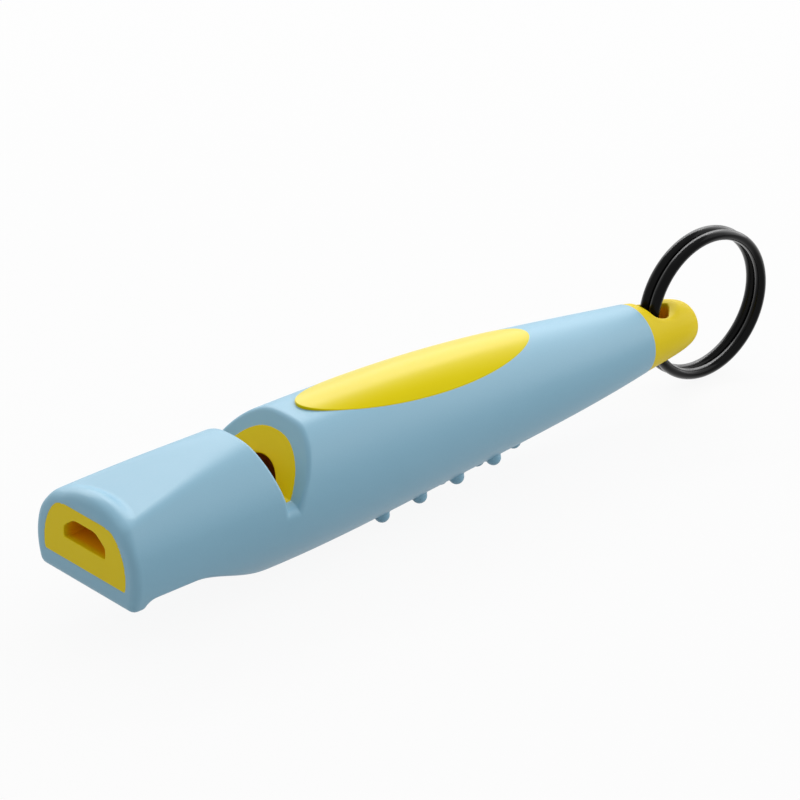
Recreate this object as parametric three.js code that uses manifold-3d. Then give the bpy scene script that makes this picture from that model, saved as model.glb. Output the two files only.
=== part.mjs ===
// Dog whistle: a yellow moulded whistle under a light-blue moulded skin, with a split ring in its tail lug.
// Millimetres. Along X: the mouth face is at 0 and the lug points to +X. The barrel's axis is y = 0, z = 0,
// with the window and the oval badge on top (+Z). The whole is then set down on z = 0, centred over its box.

import * as THREE from 'three';
import { mergeVertices } from 'three/addons/utils/BufferGeometryUtils.js';
import Module from 'manifold-3d';

// Body: barrel, taper and walls
const BODY_LENGTH = 85.9;
const LUG_LENGTH = 8.65;
const BARREL_DIAMETER = 16.3;
const MOUTH_FLARE = 0.2;
const TAIL_DIAMETER = 8.1;
const TAPER_POWER = 1.92;
const CROWN_RISE = 0.55;
const SKIN_WALL = 1.7;
const MOULD_GAP = 0.25;

// Mouthpiece: top facet with eased edges, flat underside with a bite lip, and the curve down to the belly
const FACET_DROP = 1.75;
const CREASE_DROP = 0.35;
const CREASE_TURN = THREE.MathUtils.degToRad(34);
const UNDERSIDE_DEPTH = 2.55;
const UNDERSIDE_END = 8.5;
const LIP_DROP = 0.95;
const LIP_LENGTH = 1.9;
const LIP_FILLET = 1.5;
const BELLY_RUN = 17.5;
const BELLY_EASE_IN = 4;
const BELLY_EASE_OUT = 6;
const MOUTH_WALL = 1.33;
const MOUTH_ROUND = 0.9;
const FACET_ROUND = 1.7;

// Windway slot through the plug
const WINDWAY_FLOOR = 1.3;
const WINDWAY_WIDTH = 6.8;
const WINDWAY_ROOF_WIDTH = 3.6;
const WINDWAY_SIDE = 1.3;
const WINDWAY_HEIGHT = 2.5;

// Sound window, placed by the middle of its front wall, and the resonator's blind bore behind it
const WINDOW_X = 20.6;
const WINDOW_FLOOR = 1.5;
const WINDOW_FLOOR_LENGTH = 1.6;
const WINDOW_ROUND = 0.4;
const WINDOW_FRONT_LEAN = THREE.MathUtils.degToRad(8.3);
const WINDOW_LEAN = THREE.MathUtils.degToRad(34.3);
const BORE_DIAMETER = 7.6;
const BORE_DEPTH = 14;

// Oval badge on top
const OVAL_LENGTH = 32.3;
const OVAL_WIDTH = 9.7;
const OVAL_SETBACK = 1.9;
const OVAL_FULLNESS = 2.04;

// Grip studs under the belly: rows side by side, counted from one edge to the other
const STUD_DIAMETER = 1.7;
const STUD_PITCH = 5.32;
const STUD_ROW_SPACING = 2.4;
const STUD_SETBACK = 17.1;
const STUD_ROWS = [4, 5, 5, 4];

// Tail lug with its saddle and ring hole
const LUG_TIP_DIAMETER = 5.6;
const LUG_FULLNESS = 5.5;
const LUG_DROP = 0.375;
const LUG_HOLE_SETBACK = 5.575;
const LUG_HOLE_SIDE_ROOM = 0.5;
const LUG_HOLE_REAR_ROOM = 0.4;
const LUG_HOLE_CORNER = 0.6;
const LUG_HOLE_FLARE = THREE.MathUtils.degToRad(28);
const SADDLE_SETBACK = 4.6;
const SADDLE_RADIUS = 3.4;
const SADDLE_HEIGHT = 2.35;

// Split ring: two turns of round wire
const RING_DIAMETER = 17.6;
const RING_WIRE = 1.15;
const RING_TURN_GAP = 0.42;
const RING_RISE = 1.1;
const RING_SEAT = 0.4;
const RING_CLEARANCE = 0.2;
const RING_CROSSOVER = THREE.MathUtils.degToRad(36);
const RING_CROSSOVER_DIP = THREE.MathUtils.degToRad(10);

// Fineness of the facets
const AROUND = 48;
const BARREL_STEPS = 16;
const ROUND_STEPS = 4;
const CURVE_STEPS = 10;
const STUD_SIDES = 8;
const STUD_RINGS = 6;
const RING_STEPS = 110;
const WIRE_SIDES = 12;

// How far a cutting shape runs past what it cuts
const OVERRUN = 2;
const TINY = 1e-5;

// Sizes that follow from those above
const barrelR = BARREL_DIAMETER / 2;
const mouthR = barrelR + MOUTH_FLARE;
const tailR = TAIL_DIAMETER / 2;
const skinEnd = BODY_LENGTH - LUG_LENGTH;
const windowMiddle = (barrelR + WINDOW_FLOOR) / 2;
const windowFrontFoot = WINDOW_X + (windowMiddle - WINDOW_FLOOR) * Math.tan(WINDOW_FRONT_LEAN);
const windowBackFoot = windowFrontFoot + WINDOW_FLOOR_LENGTH;
const windowTopEdge = windowBackFoot + (barrelR - WINDOW_FLOOR) * Math.tan(WINDOW_LEAN);
const ovalCentre = windowTopEdge + OVAL_SETBACK + OVAL_LENGTH / 2;
const studR = STUD_DIAMETER / 2;
const firstStud = WINDOW_X + STUD_SETBACK;
const holeX = BODY_LENGTH - LUG_HOLE_SETBACK;
const turnPitch = RING_WIRE + RING_TURN_GAP;
const ringR = (RING_DIAMETER - RING_WIRE) / 2;
const holeR = Math.hypot(turnPitch / 2, RING_SEAT) + RING_WIRE / 2 + RING_CLEARANCE;
const holeHalfWidth = holeR + LUG_HOLE_SIDE_ROOM;
const bellyEnd = UNDERSIDE_END + BELLY_RUN;
const bellyDepth = barrelRadius(bellyEnd) - crown(bellyEnd);
const studDepth = studR - Math.min(...studPlaces().map((place) => place.z));
const standDepth = Math.max(bellyDepth, studDepth, RING_DIAMETER / 2 - RING_RISE);
const ringX = holeX - RING_SEAT + ringR;
const overallLength = ringX + RING_DIAMETER / 2;

const wasm = await Module();
wasm.setup();

// The body is round: it flares a little to the mouth, and behind the window it draws in along a power curve
// while its middle line arches up.
function taper(x) {
  return Math.max(0, (x - WINDOW_X) / (skinEnd - WINDOW_X));
}

function barrelRadius(x) {
  const flare = MOUTH_FLARE * Math.max(0, 1 - x / WINDOW_X);
  return barrelR + flare - (barrelR - tailR) * taper(x) ** TAPER_POWER;
}

function crown(x) {
  return CROWN_RISE * Math.sin(Math.PI * Math.min(1, taper(x))) ** 2;
}

// A closed geometry as a solid that can be joined and cut
function solid(geometry) {
  geometry.deleteAttribute('normal');
  geometry.deleteAttribute('uv');
  const merged = mergeVertices(geometry, TINY);
  const corners = merged.index.array;
  const triVerts = [];
  for (let i = 0; i < corners.length; i += 3) {
    const [a, b, c] = corners.slice(i, i + 3);
    if (a !== b && b !== c && c !== a) triVerts.push(a, b, c);
  }
  const vertProperties = new Float32Array(merged.attributes.position.array);
  const mesh = new wasm.Mesh({ numProp: 3, vertProperties, triVerts: new Uint32Array(triVerts) });
  return new wasm.Manifold(mesh);
}

function geometryOf(piece) {
  const mesh = piece.getMesh();
  const geometry = new THREE.BufferGeometry();
  geometry.setAttribute('position', new THREE.BufferAttribute(mesh.vertProperties, 3));
  geometry.setIndex(new THREE.BufferAttribute(mesh.triVerts, 1));
  geometry.computeVertexNormals();
  return geometry;
}

// Loft of round sections along X: one section at each station, lifted by the barrel's crown
function loft(stations, radiusAt) {
  const steps = stations.length - 1;
  const geometry = new THREE.CylinderGeometry(1, 1, 1, AROUND, steps);
  const place = geometry.attributes.position;
  for (let i = 0; i < place.count; i += 1) {
    const x = stations[Math.round((place.getY(i) + 0.5) * steps)];
    const radius = radiusAt(x);
    place.setXYZ(i, x, place.getZ(i) * radius, place.getX(i) * radius + crown(x));
  }
  return solid(geometry);
}

function evenly(from, to, steps) {
  return Array.from({ length: steps + 1 }, (_, i) => from + ((to - from) * i) / steps);
}

// Stations from one end to the other: none along the straight mouthpiece, even ones along the taper
function barrelStations(from, to) {
  const start = Math.max(from, WINDOW_X);
  const steps = Math.ceil((BARREL_STEPS * (to - start)) / (skinEnd - WINDOW_X));
  const tapered = evenly(start, to, steps);
  return from < start ? [from, ...tapered] : tapered;
}

// The barrel drawn in by an even inset, between two places along X
function barrel(from, to, inset) {
  return loft(barrelStations(from, to), (x) => barrelRadius(x) - inset);
}

function prismAlongY(outline, halfWidth, turn = 0) {
  const geometry = new THREE.ExtrudeGeometry(outline, {
    depth: 2 * halfWidth, bevelEnabled: false, curveSegments: CURVE_STEPS,
  });
  return solid(geometry.rotateX(Math.PI / 2).translate(0, halfWidth, 0).rotateX(turn));
}

function prismAlongZ(outline, from, to) {
  const geometry = new THREE.ExtrudeGeometry(outline, {
    depth: to - from, bevelEnabled: false, curveSegments: CURVE_STEPS,
  });
  return solid(geometry.translate(0, 0, from));
}

function prismAlongX(outline, from, to) {
  const geometry = new THREE.ExtrudeGeometry(outline, { depth: to - from, bevelEnabled: false });
  return solid(geometry.rotateX(Math.PI / 2).rotateZ(Math.PI / 2).translate(from, 0, 0));
}

// Outside of the barrel with its mouth edge rounded
function roundedBarrel() {
  const edge = evenly(0, Math.PI / 2, ROUND_STEPS).map((turn) => MOUTH_ROUND * (1 - Math.cos(turn)));
  const stations = [...edge.slice(0, -1), ...barrelStations(MOUTH_ROUND, skinEnd)];
  return loft(stations, (x) => {
    const left = Math.max(0, MOUTH_ROUND - x);
    return barrelRadius(x) - MOUTH_ROUND + Math.sqrt(MOUTH_ROUND ** 2 - left ** 2);
  });
}

// What is cut off above a facet of the outside, turned about the barrel's axis: the mouth edge is rounded,
// and the facet rises to the barrel's surface at the window along a shallow hollow curve
function aboveFacet(drop, turn) {
  const start = barrelR - drop;
  const top = mouthR + OVERRUN;
  const outline = new THREE.Shape();
  outline.moveTo(-OVERRUN, top);
  outline.lineTo(-OVERRUN, start - FACET_ROUND);
  outline.lineTo(0, start - FACET_ROUND);
  outline.quadraticCurveTo(0, start, FACET_ROUND, start);
  outline.quadraticCurveTo(WINDOW_X / 2, start, WINDOW_X, barrelR);
  outline.lineTo(WINDOW_X, top);
  return prismAlongY(outline, mouthR + OVERRUN, turn);
}

// The top facet's cut one wall further in, for the cavity and the yellow plug
function aboveCore(gap) {
  const wall = MOUTH_WALL + gap;
  const start = barrelR - FACET_DROP - wall;
  const top = mouthR + OVERRUN;
  const outline = new THREE.Shape();
  outline.moveTo(-OVERRUN, top);
  outline.lineTo(-OVERRUN, start);
  outline.lineTo(0, start);
  outline.quadraticCurveTo(WINDOW_X / 2, start, WINDOW_X, barrelR - wall);
  outline.lineTo(WINDOW_X, top);
  return prismAlongY(outline, mouthR + OVERRUN);
}

// What is cut off under the mouthpiece, outside: bite lip, flat underside, and the curve down to the belly
function belowMouthpiece() {
  const flat = -UNDERSIDE_DEPTH;
  const lip = flat - LIP_DROP;
  const lipBack = LIP_LENGTH + LIP_FILLET;
  const outline = new THREE.Shape();
  outline.moveTo(-OVERRUN, lip + MOUTH_ROUND);
  outline.lineTo(0, lip + MOUTH_ROUND);
  outline.quadraticCurveTo(0, lip, MOUTH_ROUND, lip);
  outline.lineTo(LIP_LENGTH, lip);
  outline.quadraticCurveTo(LIP_LENGTH, flat, lipBack, flat);
  bellyCurve(outline, flat, -barrelR);
  outline.lineTo(-OVERRUN, -barrelR - OVERRUN);
  return prismAlongY(outline, mouthR + OVERRUN);
}

// The same cut one wall further in, for the cavity and the yellow pieces, with no lip
function belowCore(gap) {
  const flat = -UNDERSIDE_DEPTH + MOUTH_WALL + gap;
  const outline = new THREE.Shape();
  outline.moveTo(-OVERRUN, flat);
  bellyCurve(outline, flat, -barrelR + SKIN_WALL + gap);
  outline.lineTo(-OVERRUN, -barrelR - OVERRUN);
  return prismAlongY(outline, mouthR + OVERRUN);
}

// From the flat underside, an S-curve that runs out level with the belly
function bellyCurve(outline, flat, belly) {
  const easeStart = UNDERSIDE_END + BELLY_EASE_IN;
  outline.lineTo(UNDERSIDE_END, flat);
  outline.bezierCurveTo(easeStart, flat, bellyEnd - BELLY_EASE_OUT, belly, bellyEnd, belly);
  outline.lineTo(bellyEnd, -barrelR - OVERRUN);
}

// Window notch across the whole width: the front wall leans a little to the mouth, the back wall to the tail,
// and the floor between them has rounded corners
function windowNotch() {
  const frontLean = Math.tan(WINDOW_FRONT_LEAN);
  const lean = Math.tan(WINDOW_LEAN);
  const top = barrelR + OVERRUN;
  const roundTop = WINDOW_FLOOR + WINDOW_ROUND;
  const outline = new THREE.Shape();
  outline.moveTo(windowFrontFoot - (top - WINDOW_FLOOR) * frontLean, top);
  outline.lineTo(windowFrontFoot - WINDOW_ROUND * frontLean, roundTop);
  outline.quadraticCurveTo(windowFrontFoot, WINDOW_FLOOR, windowFrontFoot + WINDOW_ROUND, WINDOW_FLOOR);
  outline.lineTo(windowBackFoot - WINDOW_ROUND, WINDOW_FLOOR);
  const back = windowBackFoot + WINDOW_ROUND * lean;
  outline.quadraticCurveTo(windowBackFoot, WINDOW_FLOOR, back, roundTop);
  outline.lineTo(windowBackFoot + (top - WINDOW_FLOOR) * lean, top);
  return prismAlongY(outline, mouthR + OVERRUN);
}

// Oval in plan, a little fuller than an ellipse, drawn in by an inset and standing from the axis upwards
function ovalPrism(inset) {
  const points = evenly(0, 2 * Math.PI, AROUND).slice(0, -1).map((turn) => {
    const along = Math.sign(Math.cos(turn)) * Math.abs(Math.cos(turn)) ** (2 / OVAL_FULLNESS);
    const across = Math.sign(Math.sin(turn)) * Math.abs(Math.sin(turn)) ** (2 / OVAL_FULLNESS);
    const x = ovalCentre + (OVAL_LENGTH / 2 - inset) * along;
    return new THREE.Vector2(x, (OVAL_WIDTH / 2 - inset) * across);
  });
  return prismAlongZ(new THREE.Shape(points), 0, barrelR + OVERRUN);
}

// Middles of the studs on the belly's surface, in rows that share their places along X
function studPlaces() {
  const places = [];
  STUD_ROWS.forEach((count, row) => {
    const y = (row - (STUD_ROWS.length - 1) / 2) * STUD_ROW_SPACING;
    for (let k = 0; k < count; k += 1) {
      const x = firstStud + k * STUD_PITCH;
      places.push(new THREE.Vector3(x, y, crown(x) - Math.sqrt(barrelRadius(x) ** 2 - y ** 2)));
    }
  });
  return places;
}

function studs() {
  return studPlaces().map((place) => {
    const dome = new THREE.SphereGeometry(studR, STUD_SIDES, STUD_RINGS).rotateX(Math.PI / 2);
    return solid(dome.translate(place.x, place.y, place.z));
  });
}

// Blue skin: moulded over the yellow pieces, open at the mouth, the window, the oval and the tail
function skin() {
  const cavity = barrel(-OVERRUN, skinEnd + OVERRUN, SKIN_WALL)
    .subtract(aboveCore(0))
    .subtract(belowCore(0));
  const shell = roundedBarrel()
    .subtract(aboveFacet(FACET_DROP, 0))
    .subtract(aboveFacet(CREASE_DROP, CREASE_TURN))
    .subtract(aboveFacet(CREASE_DROP, -CREASE_TURN))
    .subtract(belowMouthpiece())
    .subtract(cavity)
    .subtract(windowNotch())
    .subtract(ovalPrism(0));
  return studs().reduce((body, dome) => body.add(dome), shell);
}

// Yellow mouth plug: it fills the mouthpiece and holds the windway, a slot with a narrower roof
function windwayPlug() {
  const slot = new THREE.Shape();
  slot.moveTo(-WINDWAY_WIDTH / 2, WINDWAY_FLOOR);
  slot.lineTo(WINDWAY_WIDTH / 2, WINDWAY_FLOOR);
  slot.lineTo(WINDWAY_WIDTH / 2, WINDWAY_FLOOR + WINDWAY_SIDE);
  slot.lineTo(WINDWAY_ROOF_WIDTH / 2, WINDWAY_FLOOR + WINDWAY_HEIGHT);
  slot.lineTo(-WINDWAY_ROOF_WIDTH / 2, WINDWAY_FLOOR + WINDWAY_HEIGHT);
  slot.lineTo(-WINDWAY_WIDTH / 2, WINDWAY_FLOOR + WINDWAY_SIDE);
  return barrel(0, windowFrontFoot, SKIN_WALL + MOULD_GAP)
    .subtract(aboveCore(MOULD_GAP))
    .subtract(belowCore(MOULD_GAP))
    .subtract(windowNotch())
    .subtract(prismAlongX(slot, -OVERRUN, windowFrontFoot + OVERRUN));
}

// Tail lug: a short cone with a full round nose, sinking a little towards its tip
function lugBlank() {
  const start = skinEnd + MOULD_GAP;
  const length = BODY_LENGTH - start;
  const tipR = LUG_TIP_DIAMETER / 2;
  const profile = [new THREE.Vector2(0, start)];
  evenly(0, Math.PI / 2, CURVE_STEPS).forEach((turn) => {
    const along = Math.sin(turn) ** (2 / LUG_FULLNESS);
    const cone = tailR + (tipR - tailR) * along;
    profile.push(new THREE.Vector2(cone * Math.cos(turn) ** (2 / LUG_FULLNESS), start + length * along));
  });
  profile[profile.length - 1].x = 0;
  const geometry = new THREE.LatheGeometry(profile, AROUND).rotateZ(-Math.PI / 2);
  const place = geometry.attributes.position;
  for (let i = 0; i < place.count; i += 1) {
    place.setZ(i, place.getZ(i) - (LUG_DROP * (place.getX(i) - start)) / length);
  }
  return solid(geometry);
}

// Ring hole: straight on the side of the barrel, round towards the nose
function lugHole() {
  const side = holeHalfWidth;
  const corner = LUG_HOLE_CORNER;
  const front = holeX - holeR;
  const outline = new THREE.Shape();
  outline.moveTo(front, corner - side);
  outline.quadraticCurveTo(front, -side, front + corner, -side);
  outline.lineTo(holeX, -side);
  outline.absellipse(holeX, 0, holeR + LUG_HOLE_REAR_ROOM, side, -Math.PI / 2, Math.PI / 2, false, 0);
  outline.lineTo(front + corner, side);
  outline.quadraticCurveTo(front, side, front, side - corner);
  return prismAlongZ(outline, -barrelR, barrelR);
}

// Saddle hollow across the top of the lug, where the ring's wire leaves the hole
function saddle() {
  const groove = new THREE.CylinderGeometry(SADDLE_RADIUS, SADDLE_RADIUS, 2 * barrelR, AROUND);
  return solid(groove.translate(BODY_LENGTH - SADDLE_SETBACK, 0, SADDLE_HEIGHT + SADDLE_RADIUS));
}

// Flare at the lower end of the hole, where the ring's wire leaves it on a slant
function holeFlare() {
  const depth = barrelR - SADDLE_HEIGHT;
  const wide = holeR + depth * Math.tan(LUG_HOLE_FLARE);
  const cone = new THREE.CylinderGeometry(holeR, wide, depth, AROUND).rotateX(Math.PI / 2);
  return solid(cone.translate(holeX, 0, -SADDLE_HEIGHT - depth / 2));
}

// Yellow resonator: round core with its blind bore behind the window, running out into the tail lug
function resonatorCore() {
  const front = windowFrontFoot + MOULD_GAP;
  const core = barrel(front, skinEnd + OVERRUN, SKIN_WALL + MOULD_GAP);
  const boreStart = front - OVERRUN;
  const boreEnd = windowBackFoot + BORE_DEPTH;
  const bore = new THREE.CylinderGeometry(BORE_DIAMETER / 2, BORE_DIAMETER / 2, boreEnd - boreStart, AROUND);
  bore.rotateZ(-Math.PI / 2).translate((boreStart + boreEnd) / 2, 0, 0);
  return core
    .add(lugBlank())
    .subtract(belowCore(MOULD_GAP))
    .subtract(windowNotch())
    .subtract(solid(bore))
    .subtract(saddle())
    .subtract(lugHole())
    .subtract(holeFlare());
}

// Oval badge: a curved plate that fills the oval opening, level with the skin round it
function ovalBadge() {
  const from = ovalCentre - OVAL_LENGTH / 2 - OVERRUN;
  const to = ovalCentre + OVAL_LENGTH / 2 + OVERRUN;
  return barrel(from, to, 0)
    .intersect(ovalPrism(MOULD_GAP))
    .subtract(barrel(from - OVERRUN, to + OVERRUN, SKIN_WALL));
}

// Middle line of the ring's wire: nearly two turns side by side, stepping across inside the lug
class RingLine extends THREE.Curve {
  getPoint(t, target = new THREE.Vector3()) {
    const start = RING_CROSSOVER / 2 - RING_CROSSOVER_DIP;
    const turned = t * (4 * Math.PI - RING_CROSSOVER);
    const stepStart = 2 * Math.PI - RING_CROSSOVER;
    const across = THREE.MathUtils.smoothstep(turned, stepStart, 2 * Math.PI) - 0.5;
    const angle = start + turned;
    const x = ringX - ringR * Math.cos(angle);
    return target.set(x, turnPitch * across, RING_RISE + ringR * Math.sin(angle));
  }
}

function splitRing() {
  const section = new THREE.Shape();
  section.absarc(0, 0, RING_WIRE / 2, 0, 2 * Math.PI, false);
  return new THREE.ExtrudeGeometry(section, {
    steps: RING_STEPS, extrudePath: new RingLine(), bevelEnabled: false, curveSegments: WIRE_SIDES / 2,
  });
}

// Least distance between the wire's turns, measured between points more than half a turn apart
function leastTurnGap() {
  const points = new RingLine().getSpacedPoints(4 * RING_STEPS);
  const apart = RING_STEPS;
  let least = Infinity;
  for (let i = 0; i < points.length; i += 1) {
    for (let j = i + apart; j < points.length; j += 1) {
      least = Math.min(least, points[i].distanceTo(points[j]));
    }
  }
  return least - RING_WIRE;
}

const whistle = new THREE.Group();
whistle.position.set(-overallLength / 2, 0, standDepth);

function piece(name, geometry, color, roughness, metalness) {
  const mesh = new THREE.Mesh(geometry, new THREE.MeshStandardMaterial({ color, roughness, metalness }));
  mesh.name = name;
  whistle.add(mesh);
}

piece('skin', geometryOf(skin()), 0x9ec1d2, 0.45, 0);
piece('windway_plug', geometryOf(windwayPlug()), 0xe2c722, 0.5, 0);
piece('resonator_core', geometryOf(resonatorCore()), 0xe2c722, 0.5, 0);
piece('oval_badge', geometryOf(ovalBadge()), 0xf0d81c, 0.2, 0);
piece('split_ring', splitRing(), 0x17181a, 0.25, 0.6);

console.log(`split ring: least gap between its turns ${leastTurnGap().toFixed(2)} mm`);

export default whistle;
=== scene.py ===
import math

import bpy
import numpy as np
from mathutils import Matrix, Vector


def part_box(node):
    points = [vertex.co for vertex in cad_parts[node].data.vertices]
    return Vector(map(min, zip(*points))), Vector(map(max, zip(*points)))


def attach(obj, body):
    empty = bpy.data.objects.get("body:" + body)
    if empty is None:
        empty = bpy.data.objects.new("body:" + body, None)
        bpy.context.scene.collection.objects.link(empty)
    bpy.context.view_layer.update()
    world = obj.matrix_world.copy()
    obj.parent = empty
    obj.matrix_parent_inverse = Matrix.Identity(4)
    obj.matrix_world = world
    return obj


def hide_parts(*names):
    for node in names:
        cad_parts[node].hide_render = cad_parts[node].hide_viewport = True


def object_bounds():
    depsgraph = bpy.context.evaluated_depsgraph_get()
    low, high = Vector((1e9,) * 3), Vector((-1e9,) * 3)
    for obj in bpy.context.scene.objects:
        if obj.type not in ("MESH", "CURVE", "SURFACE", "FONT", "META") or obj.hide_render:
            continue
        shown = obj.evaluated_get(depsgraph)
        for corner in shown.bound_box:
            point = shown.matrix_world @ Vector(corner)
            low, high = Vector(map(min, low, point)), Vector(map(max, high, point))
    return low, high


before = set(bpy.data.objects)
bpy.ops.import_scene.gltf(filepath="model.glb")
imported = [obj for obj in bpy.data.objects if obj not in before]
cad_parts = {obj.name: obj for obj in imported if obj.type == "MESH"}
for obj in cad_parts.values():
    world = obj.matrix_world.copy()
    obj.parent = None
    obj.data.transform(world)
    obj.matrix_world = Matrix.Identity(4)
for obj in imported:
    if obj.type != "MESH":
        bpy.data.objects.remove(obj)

cad_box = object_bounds()
scene = bpy.context.scene
scene.view_settings.view_transform = "Standard"

# Sizes in millimetres: X runs from the mouth face (0) to the tail, and the barrel's axis is y = z = 0.
# EDGE, ROUND, FILLET and BLEND: the width over which two surfaces run into each other. EXTRA adds to it.
# SPAN: the two places where a change begins and where it is complete.
BODY_LENGTH = 85.9
LUG_LENGTH = 8.65
SKIN_END = BODY_LENGTH - LUG_LENGTH
BARREL_R = 8.15
MOUTH_FLARE = 0.2
TAIL_R = 4.05
TAPER_POWER = 1.92
CROWN_RISE = 0.55
SKIN_WALL = 1.7
SKIN_END_EDGE = 0.12
STAND_DEPTH = 8.1322

# Sound window
WINDOW_X = 20.6
WINDOW_FLOOR = 1.5
WINDOW_FLOOR_LENGTH = 1.6
WINDOW_FRONT = 21.085
WINDOW_BACK = WINDOW_FRONT + WINDOW_FLOOR_LENGTH
WINDOW_FRONT_LEAN = math.radians(8.3)
WINDOW_LEAN = math.radians(34.3)
WINDOW_FOOT = 1.45
WINDOW_FALL = 0.35
WINDOW_FALL_START = 6.4
WINDOW_FALL_WIDTH = 1.6
WINDOW_FALL_POWER = 1.5
WINDOW_FRONT_FILLET = 0.3
WINDOW_BACK_FILLET = 0.1
WINDOW_EDGE = 0.4
WINDOW_LOW_EXTRA = 0.3
WINDOW_LOW_SPAN = (0.9, 2.6)

# Top of the mouthpiece: an arched rim at the mouth, then a facet that rises to the window
FACET_RISE = 2.35
FACET_POWER = 1.2
FACET_EDGE = 0.5
SHOULDER_DROP = 0.28
SHOULDER_SPAN = (2.5, 6.5)
SHOULDER_END_SPAN = (WINDOW_X + 0.4, WINDOW_X + 3)
RIM_HEIGHT = 7.2
RIM_R = 8.0
RIM_LENGTH = 1.5
RIM_FALL_LENGTH = 2.0
RIM_BLEND = 0.8
MOUTH_ROUND = 1.05
MOUTH_TOP_EXTRA = 0.45
MOUTH_TOP_LEAN = 0.1
MOUTH_TOP_SPAN = (3, 6)

# Underside of the mouthpiece: a bite lip, a flat and an S-curve down to the belly
UNDERSIDE = -2.55
UNDERSIDE_END = 8.5
UNDERSIDE_EDGE = 0.5
BELLY_RUN = 17.5
BELLY_EASE_IN = 4.0
BELLY_EASE_OUT = 6.0
BELLY_END = UNDERSIDE_END + BELLY_RUN
BELLY_SLOPE = 0.2
BELLY_POINTS = 60
LIP_DROP = 0.95
LIP = UNDERSIDE - LIP_DROP
LIP_BACK = 1.95
LIP_ROUND = 0.3
LIP_FILLET = 1.6

# Yellow inside: the plug with its windway, and the core with its bore
MOUTH_WALL = 1.33
CORE_TOP_DROP = 1.75
CORE_TOP_LEVEL = 1.7
CORE_TOP_EDGE = 0.9
CORE_LOW_EDGE = 0.25
CORE_LEAD = 0.05
CORE_START = WINDOW_FRONT - CORE_LEAD
CORE_WINDOW_EDGE = 0.03
BORE_R = 3.8
BORE_END = 36.7
BORE_EDGE = 0.25
WINDWAY_HALF_WIDTH = 3.4
WINDWAY_ROOF_HALF_WIDTH = 1.8
WINDWAY_FLOOR = 1.3
WINDWAY_SIDE_TOP = 2.6
WINDWAY_ROOF = 3.8
WINDWAY_ROUND = 0.35
PLUG_EDGE = 0.06
PLUG_WINDOW_EDGE = 0.1

# Where pieces meet they lap, and one stands a hair proud of the other, so that no seam shows
HAIR = 0.02
PLUG_LAP = 0.1
CORE_LAP = 0.3
CORE_LAP_SPAN = (19, 20)
CORE_LAP_EDGE = 0.05
OVAL_LAP = 0.4
LUG_LAP = 0.3
CORE_IN_LUG = 1.0

# Oval plate and grip studs
OVAL_MIDDLE = 45.27
OVAL_HALF = (16.15, 4.85)
OVAL_FULLNESS = 2.04
OVAL_LIFT = 0.04
OVAL_RIM = 0.12
OVAL_SIDE = 0.3
OVAL_TUCK = 0.6
OVAL_AROUND = 288
OVAL_TOP_ROWS = 25
OVAL_RIM_ROWS = 5
OVAL_UNDER_SHARES = (1, 0.6, 0.3)
STUD_R = 0.85
STUD_FIRST = 37.26
STUD_PITCH = 5.32
STUD_ROWS = (1.45, 4.1)
STUD_COUNTS = (5, 4)
STUD_FILLET = 0.15

# Lug with its ring hole, which flares below, and the saddle across its top
LUG_TIP_R = 2.8
LUG_FULLNESS = 5.5
LUG_DROP = 0.375
LUG_INSET = 0.03
LUG_START_EDGE = 0.12
HOLE_FROM_TIP = 5.575
HOLE_X = BODY_LENGTH - HOLE_FROM_TIP
HOLE_FRONT = 78.8
HOLE_REAR = 82.75
HOLE_CORNER = 82.95
HOLE_HALF_WIDTH = 2.12
HOLE_FRONT_ROUND = 0.7
HOLE_REAR_ROUND = 0.6
HOLE_EDGE = 0.16
FLARE_R = 1.7
FLARE_SLOPE = 0.532
FLARE_BLEND = 0.2
SADDLE_FROM_TIP = 4.6
SADDLE_X = BODY_LENGTH - SADDLE_FROM_TIP
SADDLE_R = 3.4
SADDLE_HEIGHT = 2.35
SADDLE_EDGE = 0.45

# Split ring of slightly flattened wire
RING_R = 8.25
RING_X = 88.09
RING_RISE = 1.04
RING_PITCH = 1.38
RING_CROSSOVER = math.radians(36)
RING_CROSSOVER_DIP = math.radians(10)
WIRE_DEPTH = 0.6
WIRE_WIDTH = 0.68
WIRE_TIP = 0.12
WIRE_TIP_SHARE = 0.6
WIRE_STEPS = 420
WIRE_SIDES = 28

# Hollows: how near its wall a point counts as inside, and where the painted light and painted shade in
# it change
WINDWAY_NEAR = 0.25
WINDWAY_BACK = 0.1
WINDWAY_GLOW_SPAN = (0.05, 1.2)
BORE_NEAR = 0.2
BORE_DIM_SPAN = (0.1, 3.5)
HOLE_NEAR = 0.12
HOLE_GLOW_SPAN = (0.05, 0.7)

# Small amounts that keep divisions and powers away from 0
TINY = 1e-9
OVAL_TINY = 1e-6

# From those millimetres to the frame's metres: the skin's box starts at the mouth and at its lowest stud
skin_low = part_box("skin")[0]
SHIFT = np.array([skin_low.x * 1000, 0.0, skin_low.z * 1000 + STAND_DEPTH])


def to_frame(points):
    return (np.asarray(points, float) + SHIFT) / 1000


# Fields: below 0 inside, above 0 outside, near enough millimetres from the surface
def smax(a, b, k):
    h = np.maximum(k - np.abs(a - b), 0) / k
    return np.maximum(a, b) + h * h * k / 4


def smin(a, b, k):
    return -smax(-a, -b, k)


def smooth(x, start, end):
    t = np.clip((x - start) / (end - start), 0, 1)
    return t * t * (3 - 2 * t)


def taper(x):
    return np.maximum(0, (x - WINDOW_X) / (SKIN_END - WINDOW_X))


def barrel_radius(x):
    flare = MOUTH_FLARE * np.maximum(0, 1 - x / WINDOW_X)
    return BARREL_R + flare - (BARREL_R - TAIL_R) * taper(x) ** TAPER_POWER


def crown(x):
    return CROWN_RISE * np.sin(np.pi * np.minimum(1, taper(x))) ** 2


def barrel(x, y, z, inset=0.0):
    return np.hypot(y, z - crown(x)) - barrel_radius(x) + inset


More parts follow.
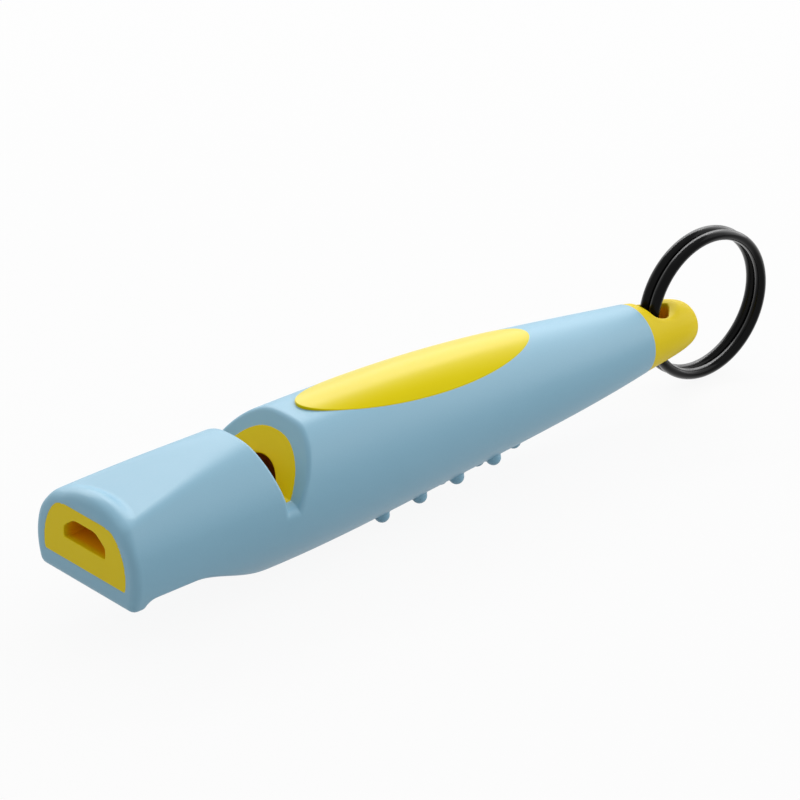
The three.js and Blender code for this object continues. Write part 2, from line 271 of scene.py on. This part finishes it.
# The S-curve under the mouthpiece, from the flat to the belly, as points of a Bezier curve
def belly(x, flat, low):
    t = np.linspace(0, 1, BELLY_POINTS)
    ends = np.array([
        [UNDERSIDE_END, flat],
        [UNDERSIDE_END + BELLY_EASE_IN, flat],
        [BELLY_END - BELLY_EASE_OUT, low],
        [BELLY_END, low],
    ])
    weights = np.stack([(1 - t) ** 3, 3 * t * (1 - t) ** 2, 3 * t * t * (1 - t), t ** 3], 1)
    curve = weights @ ends
    slope = np.gradient(curve[:, 1], curve[:, 0])
    height = np.interp(x, curve[:, 0], curve[:, 1]) - BELLY_SLOPE * np.maximum(0, x - BELLY_END)
    return height, np.sqrt(1 + np.interp(x, curve[:, 0], slope, left=0, right=BELLY_SLOPE) ** 2)


# Height of the top of the mouthpiece: the facet, and the arched rim that stands above it at the mouth
def mouth_top(x, y):
    facet = BARREL_R - SHOULDER_DROP - FACET_RISE * np.maximum(0, 1 - x / WINDOW_X) ** FACET_POWER
    rim = RIM_HEIGHT - y * y / (2 * RIM_R) - (np.maximum(0, x - RIM_LENGTH) / RIM_FALL_LENGTH) ** 2
    return smax(facet, rim, RIM_BLEND)


# Outside of the skin, without its openings and studs
def outside(x, y, z):
    shoulder = SHOULDER_DROP * smooth(z, *SHOULDER_SPAN) * (1 - smooth(x, *SHOULDER_END_SPAN))
    body = smax(barrel(x, y, z) + shoulder, z - mouth_top(x, y), FACET_EDGE)
    height, scale = belly(x, UNDERSIDE, -BARREL_R)
    lip = smax(LIP - z, x - LIP_BACK, LIP_ROUND)
    body = smax(body, smin((height - z) / scale, lip, LIP_FILLET), UNDERSIDE_EDGE)
    high = smooth(z, *MOUTH_TOP_SPAN)
    body = smax(body, -x * (1 - MOUTH_TOP_LEAN * high), MOUTH_ROUND + MOUTH_TOP_EXTRA * high)
    return smax(body, x - SKIN_END, SKIN_END_EDGE)


# Top of the yellow inside: level at the mouth, then up in a curve to its full height at the window
def core_top(x):
    across = WINDOW_X - 2 * CORE_TOP_LEVEL
    left = np.clip(x, CORE_TOP_LEVEL, WINDOW_X) - CORE_TOP_LEVEL
    t = (np.sqrt(across * across + 4 * CORE_TOP_LEVEL * left) - across) / (2 * CORE_TOP_LEVEL)
    return BARREL_R - MOUTH_WALL - CORE_TOP_DROP * (1 - t * t)


# Outline that the plug and the core share inside the skin
def core_field(x, y, z):
    body = smax(barrel(x, y, z, SKIN_WALL), z - core_top(x), CORE_TOP_EDGE)
    height, scale = belly(x, UNDERSIDE + MOUTH_WALL, -BARREL_R + SKIN_WALL)
    return smax(body, (height - z) / scale, CORE_LOW_EDGE)


# Walls of the sound window: above 0 in the stuff before the front wall and behind the back wall
def window_front(x, z):
    wall = WINDOW_FRONT - (z - WINDOW_FLOOR) * math.tan(WINDOW_FRONT_LEAN)
    return (wall - x) * math.cos(WINDOW_FRONT_LEAN)


def window_back(x, z):
    wall = WINDOW_BACK + (z - WINDOW_FLOOR) * math.tan(WINDOW_LEAN)
    return (x - wall) * math.cos(WINDOW_LEAN)


# The window's floor falls away towards both sides
def notch(x, y, z):
    past = np.maximum(0, np.abs(y) - WINDOW_FALL_START) / WINDOW_FALL_WIDTH
    foot = WINDOW_FOOT - WINDOW_FALL * past ** WINDOW_FALL_POWER
    front = smax(window_front(x, z), foot - z, WINDOW_FRONT_FILLET)
    return smax(front, window_back(x, z), WINDOW_BACK_FILLET)


def oval(x, y, z):
    along = np.abs(x - OVAL_MIDDLE) / OVAL_HALF[0] + OVAL_TINY
    across = np.abs(y) / OVAL_HALF[1] + OVAL_TINY
    value = (along ** OVAL_FULLNESS + across ** OVAL_FULLNESS) ** (1 / OVAL_FULLNESS)
    steep_x = (along / value) ** (OVAL_FULLNESS - 1) / OVAL_HALF[0]
    steep_y = (across / value) ** (OVAL_FULLNESS - 1) / OVAL_HALF[1]
    return (value - 1) / np.hypot(steep_x, steep_y) + 0 * z


# Distance to the nearest stud: an inner and an outer row on each side, seated on the barrel
def studs(x, y, z):
    outer = np.abs(y) > sum(STUD_ROWS) / 2
    row = np.where(outer, STUD_ROWS[1], STUD_ROWS[0])
    count = np.where(outer, STUD_COUNTS[1], STUD_COUNTS[0])
    place = np.clip(np.round((x - STUD_FIRST) / STUD_PITCH), 0, count - 1)
    at_x = STUD_FIRST + STUD_PITCH * place
    at_y = np.where(y < 0, -row, row)
    at_z = crown(at_x) - np.sqrt(barrel_radius(at_x) ** 2 - at_y ** 2)
    return np.sqrt((x - at_x) ** 2 + (y - at_y) ** 2 + (z - at_z) ** 2) - STUD_R


def skin_field(x, y, z):
    low = 1 - smooth(z, *WINDOW_LOW_SPAN)
    body = smax(outside(x, y, z), -notch(x, y, z), WINDOW_EDGE + WINDOW_LOW_EXTRA * low)
    hollow = core_field(x, y, z) + CORE_LAP * smooth(x, *CORE_LAP_SPAN)
    body = smax(body, -hollow, CORE_LAP_EDGE)
    body = np.maximum(body, -np.maximum(oval(x, y, z) + OVAL_LAP, -z))
    return smin(body, studs(x, y, z), STUD_FILLET)


# The windway slot, with a narrower roof
def windway(y, z):
    side = smax(np.abs(y) - WINDWAY_HALF_WIDTH, WINDWAY_FLOOR - z, WINDWAY_ROUND)
    run = WINDWAY_HALF_WIDTH - WINDWAY_ROOF_HALF_WIDTH
    rise = WINDWAY_ROOF - WINDWAY_SIDE_TOP
    slope = (np.abs(y) - WINDWAY_HALF_WIDTH) * rise + (z - WINDWAY_SIDE_TOP) * run
    roof = smax(z - WINDWAY_ROOF, slope / math.hypot(run, rise), WINDWAY_ROUND)
    return smax(side, roof, WINDWAY_ROUND)


# The plug reaches a little way into the skin and stands back a hair from the mouth face
def plug_field(x, y, z):
    body = smax(core_field(x, y, z) - PLUG_LAP, HAIR - x, PLUG_EDGE)
    body = smax(body, np.maximum(HAIR - window_front(x, z), x - WINDOW_FRONT), PLUG_WINDOW_EDGE)
    return smax(body, -windway(y, z) + 0 * x, PLUG_WINDOW_EDGE)


def lug_field(x, y, z):
    along = np.clip((x - SKIN_END) / LUG_LENGTH, 0, None)
    cone = TAIL_R + (LUG_TIP_R - TAIL_R) * along
    out = np.hypot(y, z + LUG_DROP * along) / cone
    round_part = (out ** LUG_FULLNESS + along ** LUG_FULLNESS + TINY) ** (1 / LUG_FULLNESS)
    return smax((round_part - 1) * cone + LUG_INSET, SKIN_END - LUG_LAP - x, LUG_START_EDGE)


# The saddle that leads to the ring hole from above: a groove across the lug
def saddle(x, z):
    return np.hypot(x - SADDLE_X, z - SADDLE_HEIGHT - SADDLE_R) - SADDLE_R


# The ring hole: a slot with slanted rear corners, which flares at its lower end
def hole_field(x, y, z):
    front = smax(np.abs(y) - HOLE_HALF_WIDTH, HOLE_FRONT - x, HOLE_FRONT_ROUND)
    rear = smax((x + np.abs(y) - HOLE_CORNER) / math.sqrt(2), x - HOLE_REAR, HOLE_REAR_ROUND)
    slot = smax(front, rear, HOLE_REAR_ROUND)
    flare = np.hypot(x - HOLE_X, y) - FLARE_R - FLARE_SLOPE * (-SADDLE_HEIGHT - z)
    return smin(slot + 0 * z, np.maximum(flare, z + SADDLE_HEIGHT), FLARE_BLEND)


# The core stands a hair proud of the skin at the window's wall, and ends inside the lug
def core_solid(x, y, z):
    core = np.maximum(core_field(x, y, z), x - SKIN_END - CORE_IN_LUG)
    bore = np.maximum(np.hypot(y, z) - BORE_R, x - BORE_END)
    core = smax(core, -HAIR - notch(x, y, z), CORE_WINDOW_EDGE)
    core = smax(core, -bore, BORE_EDGE)
    core = np.maximum(core, CORE_START - x)
    lug = smax(lug_field(x, y, z), -saddle(x, z), SADDLE_EDGE)
    lug = smax(lug, -hole_field(x, y, z), HOLE_EDGE)
    return np.minimum(core, lug)


# Depth in a hollow: 0 at its mouth, 1 where the painted orange glow is strongest, 2 where painted shade
# makes it dim
def plug_depth(points):
    x, y, z = points.T
    in_windway = (windway(y, z) < WINDWAY_NEAR) * (window_front(x, z) > WINDWAY_BACK)
    return smooth(x, *WINDWAY_GLOW_SPAN) * in_windway


def core_depth(points):
    x, y, z = points.T
    in_bore = (np.hypot(y, z) < BORE_R + BORE_NEAR) * (x < SKIN_END)
    bore = 2 * smooth(window_back(x, z), *BORE_DIM_SPAN) * in_bore
    in_hole = (hole_field(x, y, z) < HOLE_NEAR) * (x > SKIN_END)
    hole = smooth(saddle(x, z), *HOLE_GLOW_SPAN) * in_hole
    return np.maximum(bore, hole)


# Meshes of fields: a cell's corners, the layers worked out at a time, and how points are drawn on
CORNERS = [(i, j, k) for i in (0, 1) for j in (0, 1) for k in (0, 1)]
SLAB = 16
DRAW_STEPS = 4
DRAW_SHARE = 0.4
LEAST_SLOPE = 0.05


# Surface of a field on a grid: a point in each cell that it crosses, then drawn onto the surface
def surface(field, *axes):
    values = sample(field, *axes)
    inside = values < 0
    cells, number = crossed_cells(inside)
    points = crossing_points(values, cells, axes)
    reach = np.stack([np.diff(axes[n])[cells[:, n]] for n in range(3)], 1).min(1)
    points = draw_on(field, points, reach)
    return points, cell_quads(inside, number), gradient(field, points)[1]


def sample(field, xs, ys, zs):
    values = np.empty((len(xs), len(ys), len(zs)), np.float32)
    for i in range(0, len(xs), SLAB):
        values[i:i + SLAB] = field(xs[i:i + SLAB, None, None], ys[None, :, None], zs[None, None, :])
    return values


def crossed_cells(inside):
    a, b, c = (n - 1 for n in inside.shape)
    count = np.zeros((a, b, c), np.uint8)
    for i, j, k in CORNERS:
        count += inside[i:a + i, j:b + j, k:c + k]
    cells = np.stack(np.nonzero((count > 0) & (count < 8)), 1)
    number = np.full(count.shape, -1, np.int64)
    number[tuple(cells.T)] = np.arange(len(cells))
    return cells, number


# The mean of the places where the surface crosses a cell's edges
def crossing_points(values, cells, axes):
    total = np.zeros((len(cells), 3))
    hits = np.zeros(len(cells))
    for corner in CORNERS:
        for axis in range(3):
            if corner[axis]:
                continue
            first = cells + corner
            second = first.copy()
            second[:, axis] += 1
            a = values[tuple(first.T)]
            b = values[tuple(second.T)]
            cross = (a < 0) != (b < 0)
            share = np.where(cross, a / np.where(cross, a - b, 1), 0)
            point = np.stack([axes[n][first[:, n]] for n in range(3)], 1)
            point[:, axis] += share * (axes[axis][second[:, axis]] - axes[axis][first[:, axis]])
            total += point * cross[:, None]
            hits += cross
    return total / hits[:, None]


# No step is longer than a share of the cell's least side
def draw_on(field, points, reach):
    for _ in range(DRAW_STEPS):
        value, slope = gradient(field, points)
        step = value / np.maximum((slope * slope).sum(1), LEAST_SLOPE)
        length = np.abs(step) * np.linalg.norm(slope, axis=1)
        step *= np.minimum(1, DRAW_SHARE * reach / np.maximum(length, TINY))
        points = points - slope * step[:, None]
    return points


# One face for each grid edge that the surface crosses, between the points of the four cells round it
def cell_quads(inside, number):
    faces = []
    for axis in range(3):
        low = [slice(1, None)] * 3
        high = [slice(1, None)] * 3
        low[axis] = slice(None, -1)
        change = inside[tuple(low)].astype(np.int8) - inside[tuple(high)].astype(np.int8)
        for sign in (1, -1):
            place = np.stack(np.nonzero(change == sign), 1) + 1
            place[:, axis] -= 1
            b = (axis + 1) % 3
            c = (axis + 2) % 3
            around = []
            for db, dc in ((-1, -1), (0, -1), (0, 0), (-1, 0)):
                cell = place.copy()
                cell[:, b] += db
                cell[:, c] += dc
                ok = (cell < np.array(number.shape)).all(1) & (cell >= 0).all(1)
                index = np.full(len(cell), -1, np.int64)
                index[ok] = number[tuple(cell[ok].T)]
                around.append(index)
            quad = np.stack(around[::sign], 1)
            faces.append(quad[(quad >= 0).all(1)])
    return np.concatenate(faces)


def gradient(field, points, step=0.02):
    x, y, z = points.T
    value = field(x, y, z)
    slope = np.empty_like(points)
    for axis in range(3):
        d = np.zeros(3)
        d[axis] = step
        ahead = field(x + d[0], y + d[1], z + d[2])
        behind = field(x - d[0], y - d[1], z - d[2])
        slope[:, axis] = (ahead - behind) / (2 * step)
    return value, slope


def link_piece(name, mesh):
    mesh.shade_smooth()
    piece = bpy.data.objects.new(name, mesh)
    scene.collection.objects.link(piece)
    return piece


def mesh_piece(name, points, faces, normals, depth=None):
    mesh = bpy.data.meshes.new(name)
    mesh.vertices.add(len(points))
    mesh.vertices.foreach_set("co", to_frame(points).astype(np.float32).ravel())
    mesh.loops.add(faces.size)
    mesh.loops.foreach_set("vertex_index", faces.astype(np.int32).ravel())
    mesh.polygons.add(len(faces))
    starts = np.arange(0, faces.size, faces.shape[1], dtype=np.int32)
    mesh.polygons.foreach_set("loop_start", starts)
    mesh.update(calc_edges=True)
    piece = link_piece(name, mesh)
    unit = normals / np.maximum(np.linalg.norm(normals, axis=1), TINY)[:, None]
    mesh.normals_split_custom_set_from_vertices(unit.tolist())
    if depth is not None:
        layer = mesh.attributes.new("depth", "FLOAT", "POINT")
        layer.data.foreach_set("value", depth(points).astype(np.float32))
    return piece


# Places along a grid's axis, from runs of start, end and step
def stations(*runs):
    return np.concatenate([np.arange(start, end, step) for start, end, step in runs])


# Oval plate: rings of points from the middle to the rounded rim on the barrel, then back underneath
def oval_plate():
    turn = np.arange(OVAL_AROUND) * 2 * math.pi / OVAL_AROUND
    power = 2 / OVAL_FULLNESS
    rim_x = np.sign(np.cos(turn)) * np.abs(np.cos(turn)) ** power * OVAL_HALF[0]
    rim_y = np.sign(np.sin(turn)) * np.abs(np.sin(turn)) ** power * OVAL_HALF[1]
    rim = np.stack([rim_x, rim_y], 1)
    ahead = np.roll(rim, -1, 0) - np.roll(rim, 1, 0)
    out = np.stack([ahead[:, 1], -ahead[:, 0]], 1) / np.linalg.norm(ahead, axis=1)[:, None]
    inner = rim - OVAL_RIM * out
    tucked = rim - OVAL_TUCK * out
    rows = []
    normals = []

    def row(place, inset, tilt, down=False):
        x = OVAL_MIDDLE + place[:, 0]
        y = place[:, 1]
        z = crown(x) + np.sqrt(np.maximum((barrel_radius(x) - inset) ** 2 - y * y, 0))
        points = np.stack([x, y, z], 1)
        up = gradient(barrel, points)[1] * (-1 if down else 1)
        side = np.concatenate([out, np.zeros((OVAL_AROUND, 1))], 1)
        rows.append(points)
        normals.append(up * math.cos(tilt) + side * math.sin(tilt))

    for share in np.linspace(0, 1, OVAL_TOP_ROWS + 1)[1:]:
        row(inner * share, -OVAL_LIFT, 0)
    for tilt in np.linspace(0, math.pi / 2, OVAL_RIM_ROWS + 1)[1:]:
        row(inner + OVAL_RIM * math.sin(tilt) * out, OVAL_RIM * (1 - math.cos(tilt)) - OVAL_LIFT, tilt)
    row(rim, OVAL_SIDE, math.pi / 2)
    for share in OVAL_UNDER_SHARES:
        row(tucked * share, SKIN_WALL, 0, True)
    peak = crown(OVAL_MIDDLE) + barrel_radius(OVAL_MIDDLE)
    middles = [[OVAL_MIDDLE, 0, peak + OVAL_LIFT], [OVAL_MIDDLE, 0, peak - SKIN_WALL]]
    points = np.concatenate([*rows, middles])
    normal = np.concatenate([*normals, [[0, 0, 1], [0, 0, -1]]])
    return points, plate_faces(len(rows), OVAL_AROUND), normal


# Triangles between rows of points, with a fan at each end to the two points that come after the rows
def plate_faces(count, around):
    first = np.arange(around)
    second = (first + 1) % around
    faces = [np.stack([np.full(around, count * around), first, second], 1)]
    for i in range(count - 1):
        a = i * around
        b = a + around
        faces.append(np.stack([a + first, b + first, b + second], 1))
        faces.append(np.stack([a + first, b + second, a + second], 1))
    last = (count - 1) * around
    faces.append(np.stack([np.full(around, count * around + 1), last + second, last + first], 1))
    return np.concatenate(faces)


# Split ring: one wire wound nearly twice, its turns side by side, stepping across inside the lug
def ring_rows():
    turned = np.linspace(0, 4 * math.pi - RING_CROSSOVER, WIRE_STEPS)
    across = smooth(turned, 2 * math.pi - RING_CROSSOVER, 2 * math.pi) - 0.5
    angle = RING_CROSSOVER / 2 - RING_CROSSOVER_DIP + turned
    centre = np.array([RING_X, 0, RING_RISE])
    middle = centre + np.stack([-RING_R * np.cos(angle), RING_PITCH * across, RING_R * np.sin(angle)], 1)
    along = np.gradient(middle, axis=0)
    along /= np.linalg.norm(along, axis=1)[:, None]
    out = middle - centre
    out[:, 1] = 0
    out -= along * (out * along).sum(1)[:, None]
    out /= np.linalg.norm(out, axis=1)[:, None]
    side = np.cross(along, out)
    turn = np.arange(WIRE_SIDES) * 2 * math.pi / WIRE_SIDES
    tube = middle[:, None] + WIRE_DEPTH * out[:, None] * np.cos(turn)[:, None]
    tube += WIRE_WIDTH * side[:, None] * np.sin(turn)[:, None]
    start = wire_tip(tube[0] - along[0] * WIRE_TIP)
    end = wire_tip(tube[-1] + along[-1] * WIRE_TIP)
    return np.concatenate([[start], tube, [end]])


# The wire draws in at its two ends
def wire_tip(row):
    return row.mean(0) + (row - row.mean(0)) * WIRE_TIP_SHARE


def ring_piece(name):
    rows = ring_rows()
    points = np.concatenate([rows.reshape(-1, 3), [rows[0].mean(0)], [rows[-1].mean(0)]])
    first = len(points) - 2
    last = len(points) - 1
    base = (len(rows) - 1) * WIRE_SIDES
    faces = []
    for i in range(0, base, WIRE_SIDES):
        for j in range(WIRE_SIDES):
            n = (j + 1) % WIRE_SIDES
            faces.append((i + j, i + n, i + WIRE_SIDES + n, i + WIRE_SIDES + j))
    for j in range(WIRE_SIDES):
        n = (j + 1) % WIRE_SIDES
        faces.append((first, n, j))
        faces.append((last, base + j, base + n))
    mesh = bpy.data.meshes.new(name)
    mesh.from_pydata(to_frame(points).tolist(), [], faces)
    mesh.update()
    return link_piece(name, mesh)


# Materials: a faint broad change of colour, and a fine grain that moves roughness and bump
BROAD_SCALE = 70
BROAD_DETAIL = 3
FINE_DETAIL = 4
FINE_ROUGHNESS = 0.6
NOISE_SPAN = (0.3, 0.7)
WHOLE_SPAN = (0, 1)
BUMP_DEPTH = 0.00003
PLASTIC_IOR = 1.5


def new_material(name):
    material = bpy.data.materials.new(name)
    material.use_nodes = True
    nodes = material.node_tree.nodes
    return material, nodes, material.node_tree.links, nodes["Principled BSDF"]


def noise(nodes, links, place, scale, detail, rough=0.5):
    node = nodes.new("ShaderNodeTexNoise")
    node.inputs["Scale"].default_value = scale
    node.inputs["Detail"].default_value = detail
    node.inputs["Roughness"].default_value = rough
    links.new(place.outputs["Object"], node.inputs["Vector"])
    return node.outputs["Fac"]


def ramp(nodes, links, source, low, high, span=NOISE_SPAN):
    node = nodes.new("ShaderNodeMapRange")
    node.inputs["From Min"].default_value = span[0]
    node.inputs["From Max"].default_value = span[1]
    node.inputs["To Min"].default_value = low
    node.inputs["To Max"].default_value = high
    links.new(source, node.inputs["Value"])
    return node.outputs["Result"]


def blend(nodes, links, factor, colour):
    node = nodes.new("ShaderNodeMix")
    node.data_type = "RGBA"
    node.inputs["B"].default_value = (*colour, 1)
    links.new(factor, node.inputs["Factor"])
    return node


# Painted light and shade inside a hollow, by the mesh's attribute depth: an orange glow painted into the
# colour, then a darker painted shade deeper in
def paint_hollow_light_shade(nodes, links, paint, painted_glow, painted_shade):
    depth = nodes.new("ShaderNodeAttribute")
    depth.attribute_name = "depth"
    glow = blend(nodes, links, depth.outputs["Fac"], painted_glow)
    links.new(paint, glow.inputs["A"])
    past = nodes.new("ShaderNodeMath")
    past.operation = "SUBTRACT"
    past.inputs[1].default_value = 1
    links.new(depth.outputs["Fac"], past.inputs[0])
    shade = blend(nodes, links, past.outputs[0], painted_shade)
    links.new(glow.outputs["Result"], shade.inputs["A"])
    return shade.outputs["Result"]


# The gloss is one number, or a pair for surfaces seen straight on and edge on
def plastic(name, colour, other, rough, grain, bump, gloss, painted_glow=None, painted_shade=None):
    material, nodes, links, shader = new_material(name)
    place = nodes.new("ShaderNodeTexCoord")
    broad = noise(nodes, links, place, BROAD_SCALE, BROAD_DETAIL)
    fine = noise(nodes, links, place, grain, FINE_DETAIL, FINE_ROUGHNESS)
    mix = blend(nodes, links, ramp(nodes, links, broad, 0, 1), other)
    mix.inputs["A"].default_value = (*colour, 1)
    paint = mix.outputs["Result"]
    # A hollow's painted glow and painted shade go into the base colour when they are given
    if painted_glow:
        paint = paint_hollow_light_shade(nodes, links, paint, painted_glow, painted_shade)
    links.new(paint, shader.inputs["Base Color"])
    links.new(ramp(nodes, links, fine, *rough), shader.inputs["Roughness"])
    dent = nodes.new("ShaderNodeBump")
    dent.inputs["Strength"].default_value = bump
    dent.inputs["Distance"].default_value = BUMP_DEPTH
    links.new(fine, dent.inputs["Height"])
    links.new(dent.outputs["Normal"], shader.inputs["Normal"])
    shader.inputs["IOR"].default_value = PLASTIC_IOR
    if isinstance(gloss, tuple):
        edge = nodes.new("ShaderNodeLayerWeight")
        shine = ramp(nodes, links, edge.outputs["Facing"], *gloss)
        links.new(shine, shader.inputs["Specular IOR Level"])
    else:
        shader.inputs["Specular IOR Level"].default_value = gloss
    return material


def srgb(r, g, b):
    return tuple(((v / 255 + 0.055) / 1.055) ** 2.4 if v > 10 else v / 255 / 12.92 for v in (r, g, b))


blue = plastic(
    "blue_skin", srgb(125, 170, 192), srgb(122, 168, 190),
    rough=(0.36, 0.46), grain=5200, bump=0.25, gloss=0.5,
)
yellow = plastic(
    "yellow_body", srgb(219, 195, 5), srgb(216, 191, 3),
    rough=(0.4, 0.5), grain=4600, bump=0.22, gloss=0.15,
    # Painted light and shade in the hollows: the windway, ring hole and bore get a painted orange glow,
    # and the bore's far end a brown painted shade
    painted_glow=srgb(238, 170, 4), painted_shade=srgb(190, 120, 50),
)
polished = plastic(
    "yellow_badge", srgb(214, 197, 7), srgb(212, 193, 5),
    rough=(0.28, 0.34), grain=3000, bump=0.06, gloss=(0.03, 0.38),
)
black = plastic(
    "ring_black", (0.002, 0.002, 0.0022), (0.004, 0.004, 0.0043),
    rough=(0.14, 0.2), grain=1800, bump=0.02, gloss=(0.08, 0.6),
)

# Pieces, on grids that are finest at the mouth, the window, the skin's end and the lug
skin_x = stations(
    (-0.3, 4.2, 0.15), (4.2, 19.6, 0.3), (19.6, 27.2, 0.15), (27.2, 76.6, 0.22), (76.6, 77.7, 0.08),
)
skin_y = stations((-8.75, 8.76, 0.17))
skin_z = stations((-9.3, 9.0, 0.17))
plug_x = stations((-0.2, 2, 0.12), (2, 19.6, 0.6), (19.6, 21.5, 0.12))
core_x = stations((20.7, 27, 0.11), (27, 76.4, 0.8), (76.4, 86.3, 0.11))
core_yz = stations((-6.9, 6.91, 0.12))
skin = mesh_piece("skin_moulding", *surface(skin_field, skin_x, skin_y, skin_z))
plug = mesh_piece("mouth_plug", *surface(plug_field, plug_x, core_yz, core_yz), plug_depth)
core = mesh_piece("resonator_and_lug", *surface(core_solid, core_x, core_yz, core_yz), core_depth)
badge = mesh_piece("oval_plate", *oval_plate())
ring = ring_piece("split_ring_wire")

for piece, node, slot, material in (
    (skin, "skin", "blue_skin", blue),
    (plug, "windway_plug", "yellow_body", yellow),
    (core, "resonator_core", "yellow_body", yellow),
    (badge, "oval_badge", "yellow_badge", polished),
    (ring, "split_ring", "ring_black", black),
):
    piece.data.materials.append(material)
    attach(piece, "ring" if node == "split_ring" else "whistle")
    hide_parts(node)

# Camera at the photo's viewing angle: AIM, in millimetres, lies at the pixel AIM_PIXEL of the picture
AZIMUTH = math.radians(-41.26)
ELEVATION = math.radians(27.41)
ROLL = math.radians(0.27)
DISTANCE = 700.0
PIXELS_PER_MM = 9.333
PICTURE = 800
SENSOR = 36
NEAR_CLIP = 0.01
AIM = np.array([42.0, 0.0, 2.0])
AIM_PIXEL = (390.4, 419.62)


def photo_camera():
    level = math.cos(ELEVATION)
    back = np.array([math.sin(AZIMUTH) * level, -math.cos(AZIMUTH) * level, math.sin(ELEVATION)])
    flat_right = np.array([math.cos(AZIMUTH), math.sin(AZIMUTH), 0.0])
    flat_up = np.cross(back, flat_right)
    right = flat_right * math.cos(ROLL) + flat_up * math.sin(ROLL)
    up = flat_up * math.cos(ROLL) - flat_right * math.sin(ROLL)
    across = right * (AIM_PIXEL[0] - PICTURE / 2) / PIXELS_PER_MM
    rise = up * (PICTURE / 2 - AIM_PIXEL[1]) / PIXELS_PER_MM
    stand = AIM + DISTANCE * back - across - rise
    lens = bpy.data.cameras.new("camera")
    lens.sensor_width = SENSOR
    lens.lens = SENSOR * DISTANCE * PIXELS_PER_MM / PICTURE
    lens.clip_start = NEAR_CLIP
    camera = bpy.data.objects.new("camera", lens)
    columns = np.stack([right, up, back, to_frame(stand)], 1)
    camera.matrix_world = Matrix([*columns.tolist(), [0, 0, 0, 1]])
    scene.collection.objects.link(camera)
    return camera


scene.camera = photo_camera()

# Floor, light and background in metres: rays from the camera and from reflections see a white studio
FLOOR_GREY = 0.55
FLOOR_ROUGHNESS = 0.9
FLOOR_WHITE_SHARE = 0.92
FLOOR_HALF = 3
FLOOR_GAP = 0.0002
SKY_LEVEL = 0.57
LAMP_AIM = Vector((0, 0, 0.008))


def background_ray(nodes, links):
    path = nodes.new("ShaderNodeLightPath")
    total = path.outputs["Is Camera Ray"]
    for name in ("Is Glossy Ray", "Is Transmission Ray"):
        most = nodes.new("ShaderNodeMath")
        most.operation = "MAXIMUM"
        links.new(total, most.inputs[0])
        links.new(path.outputs[name], most.inputs[1])
        total = most.outputs[0]
    return total


def floor_material():
    material, nodes, links, shader = new_material("pale_floor")
    shader.inputs["Base Color"].default_value = (FLOOR_GREY, FLOOR_GREY, FLOOR_GREY, 1)
    shader.inputs["Roughness"].default_value = FLOOR_ROUGHNESS
    glow = nodes.new("ShaderNodeEmission")
    glow.inputs["Color"].default_value = (1, 1, 1, 1)
    mix = nodes.new("ShaderNodeMixShader")
    share = ramp(nodes, links, background_ray(nodes, links), 0, FLOOR_WHITE_SHARE, WHOLE_SPAN)
    links.new(share, mix.inputs["Fac"])
    links.new(shader.outputs[0], mix.inputs[1])
    links.new(glow.outputs[0], mix.inputs[2])
    links.new(mix.outputs[0], nodes["Material Output"].inputs["Surface"])
    return material


def pale_floor():
    mesh = bpy.data.meshes.new("floor")
    corners = [(x * FLOOR_HALF, y * FLOOR_HALF, 0) for x, y in ((-1, -1), (1, -1), (1, 1), (-1, 1))]
    mesh.from_pydata(corners, [], [(0, 1, 2, 3)])
    mesh.materials.append(floor_material())
    floor = bpy.data.objects.new("floor", mesh)
    floor.location.z = cad_box[0].z - FLOOR_GAP
    scene.collection.objects.link(floor)
    return floor


def studio_world():
    world = bpy.data.worlds.new("studio")
    world.use_nodes = True
    nodes = world.node_tree.nodes
    links = world.node_tree.links
    level = ramp(nodes, links, background_ray(nodes, links), SKY_LEVEL, 1, WHOLE_SPAN)
    nodes["Background"].inputs["Color"].default_value = (1, 1, 1, 1)
    links.new(level, nodes["Background"].inputs["Strength"])
    return world


# Place and size in metres, power in watts; each lamp is turned to the middle of the whistle
def area_light(name, place, size, power):
    light = bpy.data.lights.new(name, "AREA")
    light.shape = "RECTANGLE"
    light.size = size[0]
    light.size_y = size[1]
    light.energy = power
    lamp = bpy.data.objects.new(name, light)
    lamp.location = place
    aim = LAMP_AIM - Vector(place)
    lamp.rotation_mode = "QUATERNION"
    lamp.rotation_quaternion = aim.to_track_quat("-Z", "Y")
    scene.collection.objects.link(lamp)


floor = pale_floor()
scene.world = studio_world()
area_light("overhead", (0.0, 0.05, 0.6), (0.5, 0.5), 0.25)
area_light("behind", (0.30, 0.45, 0.28), (0.6, 0.3), 1.2)
area_light("behind_left", (-0.25, 0.55, 0.30), (0.6, 0.3), 0.5)
area_light("strip", (0.22, 0.42, 0.43), (0.6, 0.04), 1.3)
area_light("right", (0.6, -0.1, 0.35), (0.9, 0.7), 4.0)
